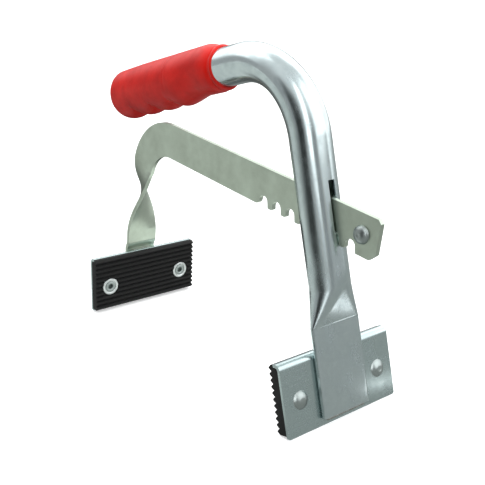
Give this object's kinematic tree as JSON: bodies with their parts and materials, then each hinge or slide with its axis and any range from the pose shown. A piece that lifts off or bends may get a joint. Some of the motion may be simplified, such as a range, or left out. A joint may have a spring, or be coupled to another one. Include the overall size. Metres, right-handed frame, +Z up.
{
  "type": "slab lifting clamp",
  "caption": "Hand clamp for lifting slabs: a bent tube handle with a jaw hangs on a notched flat bar that carries the facing jaw, so the load closes the rubber-faced jaws.",
  "frame": {"origin": "floor level under the middle of the clamp's overall length, on its plane of symmetry, standing on the lower edges of its two jaws at their widest tilt", "axes": "+X from the rear jaw to the front jaw, along the notched bar towards its free tip; +Y across the jaws; +Z up"},
  "size_m": [0.2652, 0.09, 0.2122],
  "materials": {
    "tube_steel": "bright zinc plate, glossy",
    "bar_steel": "dull zinc plate on sheared flat bar",
    "plate_steel": "dull zinc plate on pressed sheet",
    "rivet_steel": "zinc plate on cold-formed heads",
    "washer_steel": "bright zinc plate",
    "weld_metal": "weld bead under zinc plate",
    "grip_pvc": "satin dipped vinyl",
    "pad_rubber": "matt moulded rubber"
  },
  "bodies": {
    "bar_and_rear_jaw": {"notched_bar": "bar_steel", "stop_rivet": "rivet_steel", "rear_jaw_plate": "plate_steel", "rear_jaw_pad": "pad_rubber", "rear_left_rivet": "rivet_steel", "rear_right_rivet": "rivet_steel", "rear_left_washer": "washer_steel", "rear_right_washer": "washer_steel", "rear_upper_weld": "weld_metal", "rear_left_weld": "weld_metal", "rear_right_weld": "weld_metal"},
    "handle_and_front_jaw": {"handle_tube": "tube_steel", "grip": "grip_pvc", "front_jaw_plate": "plate_steel", "front_jaw_pad": "pad_rubber", "front_left_rivet": "rivet_steel", "front_right_rivet": "rivet_steel", "front_left_washer": "washer_steel", "front_right_washer": "washer_steel", "front_lower_weld": "weld_metal", "front_upper_weld": "weld_metal"}
  },
  "joints": [
    {"name": "handle_tilt", "type": "hinge", "parent": "bar_and_rear_jaw", "child": "handle_and_front_jaw", "pos_m": [0.10005, 0, 0.11081], "axis": [0, 1, 0], "range_deg": [0, 21]}
  ]
}
